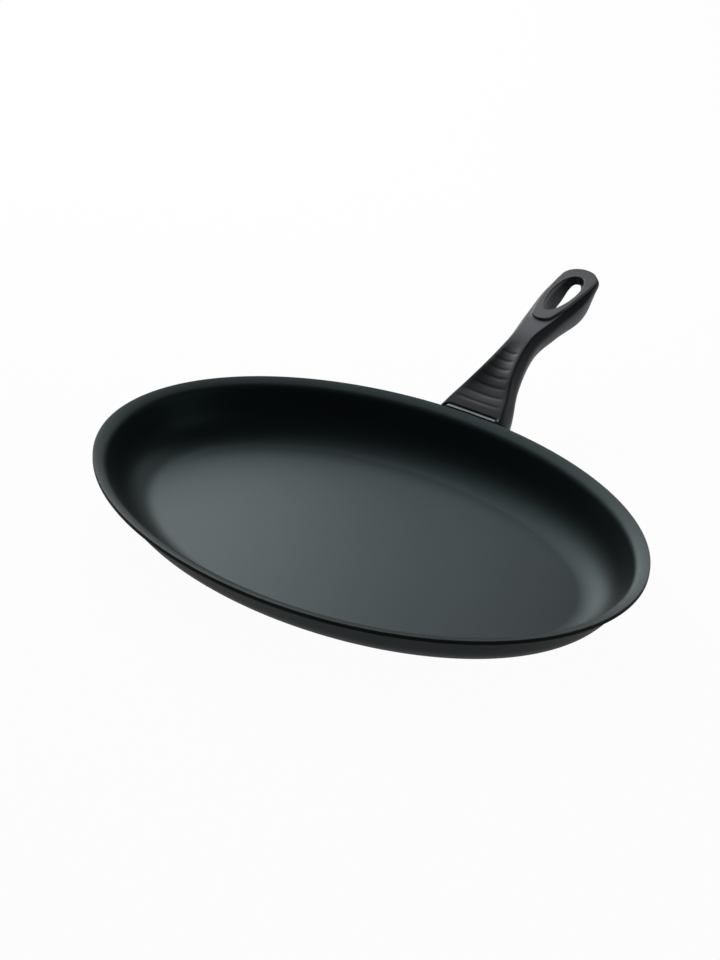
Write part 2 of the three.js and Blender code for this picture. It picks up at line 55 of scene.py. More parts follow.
# %% Camera
MM = 0.001  # the pan's sizes are in millimetres, and the frame is in metres
LIP_LEVEL = 37.2  # height of the lip's edge
TURN, CLIMB, TILT = radians(29.84), radians(31.96), radians(4.0)
DISTANCE, FOCAL_LENGTH = 1.6667, 94.05  # metres to the lip's middle, and millimetres
LOOK_LEFT, LOOK_UP = 0.00215, 0.00714  # a small turn off the lip's middle, in radians

back = Vector((sin(TURN) * cos(CLIMB), -cos(TURN) * cos(CLIMB), sin(CLIMB)))
level = Vector((cos(TURN), sin(TURN), 0))
above = back.cross(level)
right = level * cos(TILT) + above * sin(TILT)
up = above * cos(TILT) - level * sin(TILT)
stand = Vector((0, 0, LIP_LEVEL * MM)) + back * DISTANCE
away = (back + right * LOOK_LEFT - up * LOOK_UP).normalized()
up = away.cross(right).normalized()
right = up.cross(away)

lens = bpy.data.cameras.new("camera")
lens.lens = FOCAL_LENGTH
camera = bpy.data.objects.new("camera", lens)
camera.matrix_world = Matrix.Translation(stand) @ Matrix((right, up, away)).transposed().to_4x4()
bpy.context.scene.collection.objects.link(camera)
bpy.context.scene.camera = camera
print("camera at", [round(c, 3) for c in stand])

# %% [markdown]
# ## Pan body
# The body is one sheet of aluminium, pressed in a die. On the cooking side it runs from a flat floor
# through a wide bend up a slanted wall and over a small bend into the lip, which is turned outwards.
# The section is drawn as a line of insets from the lip's edge and heights. The outside of the sheet is
# such a line moved out by the gauge. The lip is coined a little: its top falls inwards more steeply
# than its underside, so the cooking side has a line of its own there, which runs into the same wall.

# %% The sheet's section
HALF_LENGTH, HALF_WIDTH = 200.0, 140.0  # middle to the lip's edge
DEPTH, GAUGE = 34.0, 3.2
LIP_UNDER = (radians(8), 4.0)  # fall and width of the lip, below
LIP_TOP = (radians(20), 6.33)  # and on its coined top
LIP_BEND, WALL_SLOPE, FLOOR_BEND = 8.0, radians(62), 32.0
LIP_STEPS, WALL_STEPS, FLOOR_STEPS = 10, 4, 24  # points in each stretch of the line


def bend(line, radius, start, end, steps):
    """Carries the line on round a bend, from one slope to another."""
    inset, height, _ = line[-1]
    side = 1 if end > start else -1
    for i in range(1, steps + 1):
        slope = start + (end - start) * i / steps
        over = side * radius * (sin(slope) - sin(start))
        down = side * radius * (cos(slope) - cos(start))
        line.append((inset + over, height + down, slope))


def sheet_line(fall, width):
    """The cooking side from the lip's edge to the floor: inset, height and slope."""
    line = [(0.0, DEPTH + GAUGE, fall)]
    line.append((width, DEPTH + GAUGE - width * tan(fall), fall))
    bend(line, LIP_BEND, fall, WALL_SLOPE, LIP_STEPS)
    inset, height, _ = line[-1]
    drop = height - GAUGE - FLOOR_BEND * (1 - cos(WALL_SLOPE))
    for i in range(1, WALL_STEPS + 1):
        down = drop * i / WALL_STEPS
        line.append((inset + down / tan(WALL_SLOPE), height - down, WALL_SLOPE))
    bend(line, FLOOR_BEND, WALL_SLOPE, 0.0, FLOOR_STEPS)
    return line


cooking_side = sheet_line(*LIP_TOP)
outside = [(i - GAUGE * sin(s), h - GAUGE * cos(s)) for i, h, s in sheet_line(*LIP_UNDER)]
outside[0] = (0.0, DEPTH + GAUGE - GAUGE / cos(LIP_UNDER[0]))
print("floor's edge lies", round(cooking_side[-1][0], 1), "mm in from the lip's edge")

# %% [markdown]
# The underside has three shallow rings, stamped so that the base stays flat when it gets hot. They
# aren't seen from above, but they are part of the press tool, so the same section line takes them in.

# %% The underside's rings
BASE_RINGS, RING_PITCH, RING_WIDTH, RING_DEPTH = 3, 24.0, 3.0, 0.6
RING_SHAPE = ((-0.5, 0), (-0.35, 0.5), (-0.2, 1), (0.2, 1), (0.35, 0.5), (0.5, 0))  # of width, depth


def stamped_base(edge):
    """The underside from the foot of the wall inwards."""
    line = []
    for i in range(1, BASE_RINGS + 1):
        for across, deep in RING_SHAPE:
            line.append((edge + i * RING_PITCH + across * RING_WIDTH, deep * RING_DEPTH))
    return line


base_line = stamped_base(outside[-1][0])
print("base line has", len(base_line), "points")

# %% [markdown]
# A round pan would be spun, but this one is oval. So an oval ring is drawn once, and then each ring is
# extruded from the last one and scaled to the next point of the section. Rings that lie on a straight
# line are few, and those in the bends are many. The flat middles are drawn in and closed with a face.

# %% Rings of the pan
OVAL_SEGMENTS = 288
MIDDLE_SHARES = (0.6, 0.5, 0.4)  # how far each ring is drawn in, where the middle is flat


def extrude(mesh, edges):
    """Extrudes edges, and gives the new points and the new edges."""
    grown = bmesh.ops.extrude_edge_only(mesh, edges=edges)["geom"]
    verts = [item for item in grown if isinstance(item, bmesh.types.BMVert)]
    return verts, [item for item in grown if isinstance(item, bmesh.types.BMEdge)]


def next_ring(mesh, edges, old, new):
    """Extrudes a ring of edges and fits the copy to the next inset and height."""
    verts, edges = extrude(mesh, edges)
    longer = (HALF_LENGTH - new[0]) / (HALF_LENGTH - old[0])
    wider = (HALF_WIDTH - new[0]) / (HALF_WIDTH - old[0])
    bmesh.ops.scale(mesh, verts=verts, vec=(longer, wider, 1))
    bmesh.ops.translate(mesh, verts=verts, vec=(0, 0, (new[1] - old[1]) * MM))
    return edges


def close_middle(mesh, edges, coat):
    """Draws a flat ring in towards its middle and closes it with a face of one finish."""
    for share in MIDDLE_SHARES:
        verts, edges = extrude(mesh, edges)
        bmesh.ops.scale(mesh, verts=verts, vec=(share, share, 1))
    bmesh.ops.contextual_create(mesh, geom=edges, mat_nr=coat)


print("each ring has", OVAL_SEGMENTS, "points")

# %% [markdown]
# The press closes on the whole sheet at once. Here the rings follow each other from the floor up to the
# lip, over its edge, down the outside and in under the base. Each band of faces gets its finish at
# once: the cooking side is coated, the rest is enamelled, and the lip's narrow edge gets the darkest
# colour, which is painted shade for an edge that faces the dark front.

# %% Press the pan
# the third finish, on the lip's edge, is painted shade
COAT, ENAMEL, SHADED_EDGE = 0, 1, 2  # finishes of the pan, in the order of its material slots
FLOOR_INSET, BASE_INSET = 90.0, 126.0  # the innermost rings of the section

section = [(FLOOR_INSET, GAUGE)] + [(inset, height) for inset, height, _ in reversed(cooking_side)]
lip_top = len(section) - 1
section += outside + base_line + [(BASE_INSET, 0.0)]

pan = bmesh.new()
bmesh.ops.create_circle(pan, segments=OVAL_SEGMENTS, radius=1.0)
longer, wider = (HALF_LENGTH - FLOOR_INSET) * MM, (HALF_WIDTH - FLOOR_INSET) * MM
bmesh.ops.scale(pan, verts=pan.verts, vec=(longer, wider, 1))
bmesh.ops.translate(pan, verts=pan.verts, vec=(0, 0, GAUGE * MM))
rings = [list(pan.edges)]
close_middle(pan, rings[0], COAT)
for place in range(1, len(section)):
    rings.append(next_ring(pan, rings[-1], section[place - 1], section[place]))
    coat = COAT if place <= lip_top else SHADED_EDGE if place == lip_top + 1 else ENAMEL
    for edge in rings[-1]:
        for face in edge.link_faces:
            face.material_index = coat
close_middle(pan, rings[-1], ENAMEL)
print("pan:", len(rings), "rings,", len(pan.faces), "faces")

# %% [markdown]
# After pressing, the sheet is trimmed and its edge is dressed, so the lip's two corners are a little
# round. A bevel does that on two of the finished rings, and it leaves the finishes alone. So each round
# gets its finish afterwards: the coat runs over the upper corner, and the painted shade of the edge over
# the lower one.

# %% Round the lip's corners
CORNER_ROUND, CORNER_STEPS = 0.5, 4
SAME_POINT = 1e-6  # metres

for corner, coat in ((rings[lip_top], COAT), (rings[lip_top + 1], SHADED_EDGE)):
    rounded = bmesh.ops.bevel(pan, geom=corner, offset=CORNER_ROUND * MM, offset_type="OFFSET",
                              segments=CORNER_STEPS, profile=0.5, affect="EDGES", material=-1)
    for face in rounded["faces"]:
        face.material_index = coat
bmesh.ops.remove_doubles(pan, verts=pan.verts, dist=SAME_POINT)
bmesh.ops.recalc_face_normals(pan, faces=pan.faces)
print("pan with round corners:", len(pan.faces), "faces")

# %% [markdown]
# Every piece ends as an object at the origin, with its place in its mesh, and rides on the one rigid
# body. A small helper does that, and hides the solid that the piece stands for.

# %% Make a piece of it


def as_piece(name, mesh, node):
    """Turns a bmesh into an object that stands for one solid of the frame."""
    data = bpy.data.meshes.new(name)
    mesh.to_mesh(data)
    mesh.free()
    data.polygons.foreach_set("use_smooth", [True] * len(data.polygons))
    piece = bpy.data.objects.new(name, data)
    bpy.context.scene.collection.objects.link(piece)
    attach(piece, "root")
    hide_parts(node)
    return piece


pan_piece = as_piece("pan_shell", pan, "pan_body")
print("pan piece:", len(pan_piece.data.polygons), "faces")

# %% [markdown]
# ## Grip
# The grip is moulded in one shot. It flares at the pan, narrows to a waist and widens again round a
# hanging eye. Its sides slant outwards below the top and then stand upright, and its underside curves
# up to the tip like a boat's bow. Its shape could be pushed about by hand in a cage. Instead, curves
# along its length say how high its top lies and how wide and thick it is, because a smooth curve
# through a few named places is easier to correct.

# %% A smooth curve
CURVE_STEPS = 40  # samples between two places


def along(*pairs):
    """A smooth curve through pairs of place and value, as a function of the place."""
    points = [Vector(pair) for pair in pairs]
    points = [2 * points[0] - points[1], *points, 2 * points[-1] - points[-2]]
    samples = []
    for before, start, end, after in zip(points, points[1:], points[2:], points[3:]):
        a, b, c = (sqrt((q - p).length) for p, q in ((before, start), (start, end), (end, after)))
        leave = ((start - before) / a - (end - before) / (a + b) + (end - start) / b) * b
        reach = ((end - start) / b - (after - start) / (b + c) + (after - end) / c) * b
        for i in range(CURVE_STEPS):
            t = i / CURVE_STEPS
            bow = (2 * t**3 - 3 * t**2 + 1) * start + (t**3 - 2 * t**2 + t) * leave
            samples.append(bow + (3 * t**2 - 2 * t**3) * end + (t**3 - t**2) * reach)
    samples.append(points[-2])

    def value(place):
        for low, high in zip(samples, samples[1:]):
            if place <= high.x:
                return low.y + (high.y - low.y) * max(0.0, place - low.x) / (high.x - low.x)
        return samples[-1].y

    return value


print("halfway up a straight slope from 0 to 2:", round(along((0, 0), (1, 2), (2, 4))(0.5), 3))

# %% [markdown]
# The places are distances past the lip's edge, in millimetres. The cheeks reach in under the lip, so
# the curves start at a place below zero. The heights count from the lip, and the rest are half widths,
# thicknesses and the reach of the slanted facet at each side.

# %% Curves along the grip
CHEEK_END, FLARE, SHOULDER, WAIST, NAPE, EYE_MIDDLE = -9.0, 17.0, 38.5, 70.0, 99.0, 131.0
TIP, TIP_RADIUS = 169.0, 14.4
TIP_CENTRE = TIP - TIP_RADIUS
UPSWEEP, GRIP_END = TIP_CENTRE - 13.0, TIP + 1.2  # the underside curves up between these
ROOT_RISE, PAD_RISE, PAD_TOP = 2.4, 1.8, 46.6
TIP_RISE = PAD_TOP - PAD_RISE

top_rise = along((CHEEK_END, ROOT_RISE), (0, ROOT_RISE), (FLARE, 8.3), (SHOULDER, 20.8), (WAIST, 32.6),
                 (NAPE, 37), (TIP, TIP_RISE), (TIP + TIP_RADIUS, TIP_RISE))
half_width = along((CHEEK_END, 22.9), (0, 22.9), (FLARE, 19), (SHOULDER, 11.7), (WAIST, 7.5),
                   (NAPE, 10.8), (TIP_CENTRE - TIP_RADIUS, TIP_RADIUS), (TIP_CENTRE, TIP_RADIUS))
thickness = along((CHEEK_END, 24), (FLARE, 24), (SHOULDER, 21.5), (WAIST, 18.5), (NAPE, 16.8),
                  (EYE_MIDDLE, 19), (UPSWEEP, 17), (TIP_CENTRE, 6.4), (GRIP_END, 4))
facet = along((CHEEK_END, 12), (FLARE, 12), (WAIST, 7.5), (TIP_CENTRE, 3))
swell = along((CHEEK_END, 6.6), (0, 6.6), (SHOULDER, 5.5), (NAPE, 3.7), (EYE_MIDDLE, 3.7),
              (TIP_CENTRE, 1.2))
under_round = along((CHEEK_END, 5), (WAIST, 5), (NAPE, 4), (EYE_MIDDLE, 4), (UPSWEEP, 4),
                    (TIP_CENTRE, 2.2))
print("top of the waist:", round(2 * half_width(WAIST), 1), "mm wide")

# %% [markdown]
# The top has a shallow dish for the thumb, with seven grooves across it that are bowed a little towards
# the pan. The grooves could be cut with another solid, but then the cage would lose its even quads. So
# the cage has lines that follow the bow, and the line at each groove is pressed down.

# %% Thumb dish and grooves
DISH_START, DISH_END, DISH_DEPTH = 8.0, 64.0, 1.6
FIRST_GROOVE, GROOVE_PITCH, GROOVE_COUNT = 11.2, 7.07, 7
GROOVES = [FIRST_GROOVE + GROOVE_PITCH * i for i in range(GROOVE_COUNT)]
GROOVE_BOW, GROOVE_DEPTH = 0.4, 0.5
BOW_START, BOW_IN, BOW_END, BOW_OUT = 6.0, 5.0, 68.0, 7.0  # the bow comes in and goes out over a length


def dish(place, share):
    """How deep the dish is, by place along the grip and share of its half width."""
    part = (place - DISH_START) / (DISH_END - DISH_START)
    if not 0 < part < 1 or share >= 1:
        return 0.0
    return DISH_DEPTH * sin(pi * part) * (1 - share * share)


def bowed(place, share):
    """Where a line across the dish runs: its middle lies nearer to the pan."""
    fade = min(1.0, max(0.0, (place - BOW_START) / BOW_IN), max(0.0, (BOW_END - place) / BOW_OUT))
    return place - GROOVE_BOW * fade * (1 - share * share)


print("dish is", round(dish((DISH_START + DISH_END) / 2, 0), 2), "mm deep in its middle")

# %% [markdown]
# Each section is drawn as half of a line, from the middle of the top round to the middle of the
# underside. At the pan the top rolls down to the guard, as a moulded edge does, so that only a thin
# joint is left between the two. Two lines close together keep the edge beside the top crisp.

# %% Half of the grip's section
TOP_SHARES, GROOVE_SHARES = (0, 0.28, 0.55, 0.8, 1), (1, 1, 1, 0.8, 0)
BORDER = 2.6  # from the dish to the top's edge
CREASE_IN, CREASE_OUT, CREASE_DROP, CREASE_ROLL = 0.6, 0.1, 0.15, 0.9  # the two lines of the edge
FACET_LINES = ((0.12, 0.12, 0.5), (0.55, 0.55, 0), (0.94, 0.95, 0))  # shares of swell, facet and roll
UNDER_IN, UNDER_UP = 0.25, 0.3  # shares of the lower edge's round
UNDER_SHARES = (1, 0.8, 0.6, 0.4, 0.2, 0)
GRIP_FRONT = 3.0  # place of the top's front edge
ROLL_END, ROLL_DROP = 14.0, 1.4


def section_of(place, groove=0.0):
    """Side, drop and place of each point, from the middle of the top to the middle of the underside."""
    half, deep, slant, over = half_width(place), thickness(place), facet(place), swell(place)
    belly, curve = half + over, under_round(place)
    roll = ROLL_DROP * max(0.0, (ROLL_END - place) / (ROLL_END - GRIP_FRONT)) ** 2
    points = []
    for share, pressed in zip(TOP_SHARES, GROOVE_SHARES):
        at = bowed(place, share)
        points.append((share * (half - BORDER), -dish(at, share) - groove * pressed - roll, at))
    points.append((half - CREASE_IN, -roll, place))
    points.append((half - CREASE_OUT, -CREASE_DROP - CREASE_ROLL * roll, place))
    for out, down, rolled in FACET_LINES:
        points.append((half + out * over, -down * slant - rolled * roll, place))
    points.append((belly, -(slant + deep - curve) / 2, place))
    points.append((belly - UNDER_IN * curve, UNDER_UP * curve - deep, place))
    points += [(share * (belly - curve), -deep, place) for share in UNDER_SHARES]
    return points


SECTION_POINTS = len(section_of(WAIST))
SIDE_FIRST, SIDE_LAST = len(TOP_SHARES), SECTION_POINTS - len(UNDER_SHARES)  # the side lies between these
print("section has", SECTION_POINTS, "points; the side runs from", SIDE_FIRST, "to", SIDE_LAST)

# %% [markdown]
# The cage of the grip is one half, mirrored at the end. It grows by extrusion: a chain of edges across
# the grip is extruded from place to place, and each new chain is put on the section of its place. A
# loft through finished outlines would give the same bar, but a chain can also turn round the tip.

# %% Chains of the cage


def spot(side, out, lift):
    """A point by its side, its distance past the lip's edge and its height over the top line."""
    return Vector((side, HALF_WIDTH + out, LIP_LEVEL + top_rise(out) + lift)) * MM


def edges_between(mesh, verts):
    """The edges of the cage that join points in a row."""
    return [mesh.edges.get(pair) for pair in zip(verts, verts[1:])]


def chain_verts(edges):
    """The points of a chain, in order."""
    shared = set(edges[0].verts) & set(edges[1].verts)
    verts = [edges[0].other_vert(next(iter(shared)))]
    for edge in edges:
        verts.append(edge.other_vert(verts[-1]))
    return verts


def copy_of(vert, fresh):
    """The new point that was extruded from a point."""
    return next(edge.other_vert(vert) for edge in vert.link_edges if edge.other_vert(vert) in fresh)


def next_chain(mesh, edges, points):
    """Extrudes a chain and puts its copy on new points."""
    before = chain_verts(edges)
    fresh, _ = extrude(mesh, edges)
    copies = [copy_of(vert, fresh) for vert in before]
    for copy, point in zip(copies, points):
        copy.co = point
    return edges_between(mesh, copies)


print("tip of the top lies at", [round(c, 4) for c in spot(0, TIP, PAD_RISE)])

# %% [markdown]
# At the pan, the top of the moulding stops short of the lip, and its cheeks reach in under the lip to
# the wall. So the first chain isn't a flat cut. Its points on the top lie in a row, and those of the
# cheeks follow the lip's round edge and then the slanted outside of the pan, with a small gap.

# %% The front at the pan
CHEEK_GAP, LIP_DROP = 0.4, 3.3  # gap to the pan, and how far the lip's edge reaches down


def wall_inset(drop):
    """How far the outside of the pan lies in from the lip's edge, at a drop below the lip."""
    at = LIP_LEVEL - drop
    for (inset, height), (next_inset, next_height) in zip(outside, outside[1:]):
        if next_height <= at:
            return inset + (next_inset - inset) * (height - at) / (height - next_height)
    return outside[-1][0]


def front_points():
    """The first chain: the top is cut back and the cheeks follow the lip's edge and the wall."""
    points = []
    for count, (side, drop, _) in enumerate(section_of(GRIP_FRONT)):
        height = ROOT_RISE + drop
        out = GRIP_FRONT
        if count >= SIDE_FIRST:
            inset = wall_inset(-height) if -height > LIP_DROP else 0.0
            round_off = HALF_WIDTH * (1 - sqrt(1 - (side / HALF_LENGTH) ** 2))
            out = max(CHEEK_END, CHEEK_GAP - inset - round_off)
        points.append(Vector((side, HALF_WIDTH + out, LIP_LEVEL + height)) * MM)
    return points


grip = bmesh.new()
front_verts = [grip.verts.new(point) for point in front_points()]
chain = [grip.edges.new(pair) for pair in zip(front_verts, front_verts[1:])]
print("front:", len(front_verts), "points")

# %% [markdown]
# The bar runs from the front to the neck of the eye. Each groove takes four lines: where its fall
# begins, its bottom, and the ends of a steep and a gentle stretch back up. So the grooves are slanted
# like low steps, which give the thumb a hold. Even lines would need a much finer cage for them.

# %% Grow the bar of the grip
NECK = 88.0  # the bar ends here and the eye begins
FRONT_PLACES = (3.25, 3.9, 5.4, 7.2)
GROOVE_LINES = (-2.2, 0.0, 0.8, 3.0)
BAR_PLACES = (60.0, 63.0, 66.0, 69.5, 73.0, 76.5, 80.0, 83.0, 86.0, NECK)

lines = [(place, 0.0) for place in FRONT_PLACES]
for groove in GROOVES:
    lines += [(groove + step, GROOVE_DEPTH if step == 0 else 0.0) for step in GROOVE_LINES]
lines += [(place, 0.0) for place in BAR_PLACES]
for place, press in lines:
    chain = next_chain(grip, chain, [spot(side, out, drop) for side, drop, out in section_of(place, press)])
neck_verts = chain_verts(chain)
print("bar:", len(lines), "lines,", len(grip.faces), "faces")

# %% [markdown]
# Round the eye, the sides and the top need different flows. The sides go on along the outline and round
# the tip. The top is a sleeve: a chain that starts on the outline runs in over the raised pad, down
# through the eye and out again under the grip. Both start on the last chain of the bar.

# %% Sides round the eye
SIDE_PLACES = (91, 94.5, 98, 102, 106, 110.5, 115, 120, 125, 130, 135, 140, 144, 148, TIP_CENTRE)
TIP_STEPS = 8

outline = [(place, 0.0) for place in SIDE_PLACES]
outline += [(TIP_CENTRE, radians(90 * i / TIP_STEPS)) for i in range(1, TIP_STEPS + 1)]


def turned(side, drop, place, angle):
    """A point of the section, turned about the middle of the round tip, where the grip thins out."""
    out = place + side * sin(angle)
    return spot(side * cos(angle), out, drop * thickness(out) / thickness(place))


chain = edges_between(grip, neck_verts[SIDE_FIRST:SIDE_LAST + 1])
top_edge, under_edge = neck_verts[:SIDE_FIRST + 1], neck_verts[:SIDE_LAST - 1:-1]
for place, angle in outline:
    side_points = section_of(place)[SIDE_FIRST:SIDE_LAST + 1]
    chain = next_chain(grip, chain, [turned(side, drop, place, angle) for side, drop, _ in side_points])
    verts = chain_verts(chain)
    top_edge.append(verts[0])
    under_edge.append(verts[-1])
print("outline has", len(top_edge), "points")

# %% [markdown]
# The eye is an egg shape that is wider towards the tip. It narrows down to a parting, where the two
# halves of the mould met, and flares again below. A raised pad lies round it, with a round end at the
# neck. For every point of the outline, a ray to the eye says where it crosses the pad's edge.

# %% The eye and its pad
EYE_CENTRE, EYE_REACH, EYE_HALF = 130.95, 25.25, 9.2
EYE_SKEW, EYE_EASE, EYE_FLARE = 0.16, 0.4, 1.0  # egg shape, less taper at the tip, flare below
EYE_TAPER, EYE_NEAR_TAPER, EYE_FAR_TAPER = 4.5, 4.8, 0.3  # at the sides, the pan end and the tip end
PAD_START, PAD_ROUND, PAD_SPREAD, PAD_FOOT = 93.0, 8.3, 0.25, 0.3
HALVINGS = 30  # steps of a search by halving


def eye_point(angle, taper=0.0, grow=0.0):
    """A point of the eye's egg shape, from the pan side round to the tip, where it is wider."""
    lean = taper * EYE_TAPER * (1 - EYE_EASE * max(0.0, -cos(angle)))
    side = (EYE_HALF + grow - lean) * (1 - EYE_SKEW * cos(angle)) * sin(angle)
    end = EYE_NEAR_TAPER if cos(angle) > 0 else EYE_FAR_TAPER
    return Vector((side, EYE_CENTRE - (EYE_REACH + grow - taper * end) * cos(angle)))


def on_pad(flat):
    """Whether a point lies on the pad: a round end that spreads towards the outline."""
    past = flat.y - PAD_START
    if past < PAD_ROUND:
        return past > 0 and flat.x <= sqrt(PAD_ROUND**2 - (PAD_ROUND - past) ** 2)
    return flat.x <= PAD_ROUND + PAD_SPREAD * (past - PAD_ROUND)


def pad_point(eye, edge):
    """Where the way from the eye to the outline leaves the pad, found by halving."""
    way = edge - eye
    inside, beyond = 0.0, 1 - PAD_FOOT / way.length
    if on_pad(eye + beyond * way):
        return eye + beyond * way
    for _ in range(HALVINGS):
        middle = (inside + beyond) / 2
        if on_pad(eye + middle * way):
            inside = middle
        else:
            beyond = middle
    return eye + inside * way


rays = []
for vert in top_edge:
    edge = Vector((vert.co.x / MM, vert.co.y / MM - HALF_WIDTH))
    angle = atan2(edge.x / EYE_HALF, (EYE_CENTRE - edge.y) / EYE_REACH)
    rays.append((angle, edge, pad_point(eye_point(angle), edge)))
print("pad starts", round(rays[0][2].y, 1), "mm past the lip's edge")

# %% [markdown]
# The sleeve could be cut as a hole and bevelled. As rows of one chain it keeps even quads, and each
# edge gets its own softness: rows that lie close together make a crisp edge, and rows that lie far
# apart a soft one. The pad's rows lie on the rays, and the eye's rows at shares of the thickness.

# %% Sleeve from the pad through the eye
# Share of the ray, shift along it and drop.
PAD_LINES = ((1, 0, 0.55), (1, -0.12, 0.12), (1, -0.6, 0), (0.5, 0, 0), (0, 0.7, 0), (0, 0.12, 0.12))
# Taper, lift, share of the thickness and flare.
EYE_LINES = ((0.01, PAD_RISE - 0.6, 0, 0), (0.03, PAD_RISE, 0.21, 0), (0.12, PAD_RISE, 0.26, 0),
             (0.92, 0, 0.61, 0), (1, 0, 0.66, 0), (0.92, 0, 0.71, 0),
             (0.1, 0, 0.93, 0.7), (0, 0, 0.975, 1), (0, 0, 1, 1.8))


def foot_row():
    """The row on the grip's top, just outside the pad."""
    flats = [pad + (edge - pad) * min(0.5, PAD_FOOT / (edge - pad).length) for _, edge, pad in rays]
    return [spot(flat.x, flat.y, 0.0) for flat in flats]


def pad_row(share, shift, drop):
    """A row on the pad: a share of the way from the eye to the pad's edge, and a shift along it."""
    row = []
    for angle, _, pad in rays:
        eye = eye_point(angle)
        flat = eye + share * (pad - eye) + shift * (pad - eye).normalized()
        row.append(spot(flat.x, flat.y, PAD_RISE - drop))
    return row


def eye_row(taper, lift, share, flare):
    """A row down the eye's wall, at a share of the grip's thickness."""
    flats = [eye_point(angle, taper, flare * EYE_FLARE) for angle, _, _ in rays]
    return [spot(flat.x, flat.y, lift - share * thickness(flat.y)) for flat in flats]


rows = [foot_row()] + [pad_row(*line) for line in PAD_LINES] + [eye_row(*line) for line in EYE_LINES]
rows.append([vert.co.copy() for vert in under_edge])
chain = edges_between(grip, top_edge)
for row in rows:
    chain = next_chain(grip, chain, row)
print("sleeve:", len(rows), "rows; half of the grip:", len(grip.faces), "faces")

# %% [markdown]
# The grip is alike on both sides, so only one half was drawn. A Mirror modifier could show the other,
# but the hole and the pocket below need the whole edge of the front. So the half is mirrored here,
# and the points that lie on each other in the middle are merged, so that no seam is left.

# %% Mirror the half
MIRROR_GAP = 2e-5  # metres

bmesh.ops.remove_doubles(grip, verts=grip.verts, dist=MIRROR_GAP)
bmesh.ops.mirror(grip, geom=list(grip.verts) + list(grip.edges) + list(grip.faces),
                 matrix=Matrix(), merge_dist=MIRROR_GAP, axis="X")
front_edges = [edge for edge in grip.edges if edge.is_boundary]
print("open edges at the front:", len(front_edges))

# %% [markdown]
# Below, a round hole takes the screw and its washer. It could be cut with a boolean, but then the cage
# would get long thin faces. So a patch of the underside is taken out, the edge of the gap is pulled
# onto a circle, and the edge is extruded up the hole to the seat and round the screw's shank.

# %% Where the hole goes
AXIS_OUT, AXIS_LIFT, AXIS_SLOPE = 26.35, 5.4, radians(25)  # a point of the screw's axis, and its lean
HOLE, SHANK, SEAT, SHANK_END = 5.1, 2.8, 5.9, 3.2  # radii, and depths along the axis
DEEPEST = 20.0  # the underside lies above this depth
PATCH_START, PATCH_END = 27.1, 35.4  # places of the faces that the hole replaces
PATCH_SHARE, NEAR_UNDERSIDE = 0.4, 0.9  # shares of the flat underside and of the thickness


def on_axis(turn, radius, deep):
    """A point round the screw's axis: deep counts from the tongue down to the underside."""
    out = AXIS_OUT + deep * sin(AXIS_SLOPE) + radius * sin(turn) * cos(AXIS_SLOPE)
    lift = AXIS_LIFT - deep * cos(AXIS_SLOPE) + radius * sin(turn) * sin(AXIS_SLOPE)
    return Vector((radius * cos(turn), HALF_WIDTH + out, LIP_LEVEL + lift)) * MM


def depth_of_underside(turn, radius):
    """How deep the underside lies there, found by halving."""
    low, high = SEAT, DEEPEST
    for _ in range(HALVINGS):
        deep = (low + high) / 2
        point = on_axis(turn, radius, deep) / MM
        out = point.y - HALF_WIDTH
        if point.z > LIP_LEVEL + top_rise(out) - thickness(out):
            low = deep
        else:
            high = deep
    return low


patch = []
for face in grip.faces:
    middle = face.calc_center_median() / MM
    out = middle.y - HALF_WIDTH
    below = LIP_LEVEL + top_rise(out) - middle.z > NEAR_UNDERSIDE * thickness(out)
    flat_half = half_width(out) + swell(out) - under_round(out)
    if below and abs(middle.x) < PATCH_SHARE * flat_half and PATCH_START < out < PATCH_END:
        patch.append(face)
rim = [edge for face in patch for edge in face.edges if sum(near in patch for near in edge.link_faces) == 1]
print("patch:", len(patch), "faces; edge of the gap:", len(rim))

# %% [markdown]
# The mouth of the hole follows the curved underside, and its seat and the hole of the shank are flat
# across the screw's axis. So the first rings count their depth from the underside, and the others along
# the axis. Each point keeps its angle round the axis on the way up.

# %% Draw the hole
MOUTH_ROUND, SEAT_ROUND, SHANK_ROUND = 0.3, 0.3, 0.2
MOUTH_STEPS = (0.15, 0.6)
SEAT_LINES = ((HOLE, SEAT + SEAT_ROUND), (HOLE - SEAT_ROUND, SEAT), (SHANK + SEAT_ROUND, SEAT),
              (SHANK, SEAT - SHANK_ROUND), (SHANK, SHANK_END))


def next_rim(edges, turns, radius, depths):
    """Extrudes the hole's rim and puts its copy on a circle, each point at its own depth."""
    fresh, edges = extrude(grip, edges)
    moved = {}
    for (vert, turn), deep in zip(turns.items(), depths):
        copy = copy_of(vert, fresh)
        copy.co = on_axis(turn, radius, deep)
        moved[copy] = turn
    return edges, moved


turns = {}
for vert in {end for edge in rim for end in edge.verts}:
    out = vert.co.y / MM - HALF_WIDTH - AXIS_OUT
    lift = vert.co.z / MM - LIP_LEVEL - AXIS_LIFT
    turns[vert] = atan2(out * cos(AXIS_SLOPE) + lift * sin(AXIS_SLOPE), vert.co.x / MM)
    mouth = HOLE + MOUTH_ROUND
    vert.co = on_axis(turns[vert], mouth, depth_of_underside(turns[vert], mouth))
bmesh.ops.delete(grip, geom=patch, context="FACES")
for step in MOUTH_STEPS:
    depths = [depth_of_underside(turn, HOLE) - step for turn in turns.values()]
    rim, turns = next_rim(rim, turns, HOLE, depths)
for radius, deep in SEAT_LINES:
    rim, turns = next_rim(rim, turns, radius, [deep] * len(turns))
bmesh.ops.contextual_create(grip, geom=rim)
print("hole drawn; open edges left:", sum(edge.is_boundary for edge in grip.edges))

# %% [markdown]
# The real moulding is hollow at the pan, and the sheet metal guard goes into it. So the open front gets
# a pocket with a thin wall: its edge is extruded onto a box just outside the guard, then straight in,
# and closed. An inset of a closed front would follow the cheeks instead of the guard.

# %% Pocket at the front
POCKET_HALF, POCKET_TOP, POCKET_BOTTOM, POCKET_END = 21.3, 1.0, -17.2, 6.4
POCKET_STEP = 0.15  # how far its edge lies in from the front

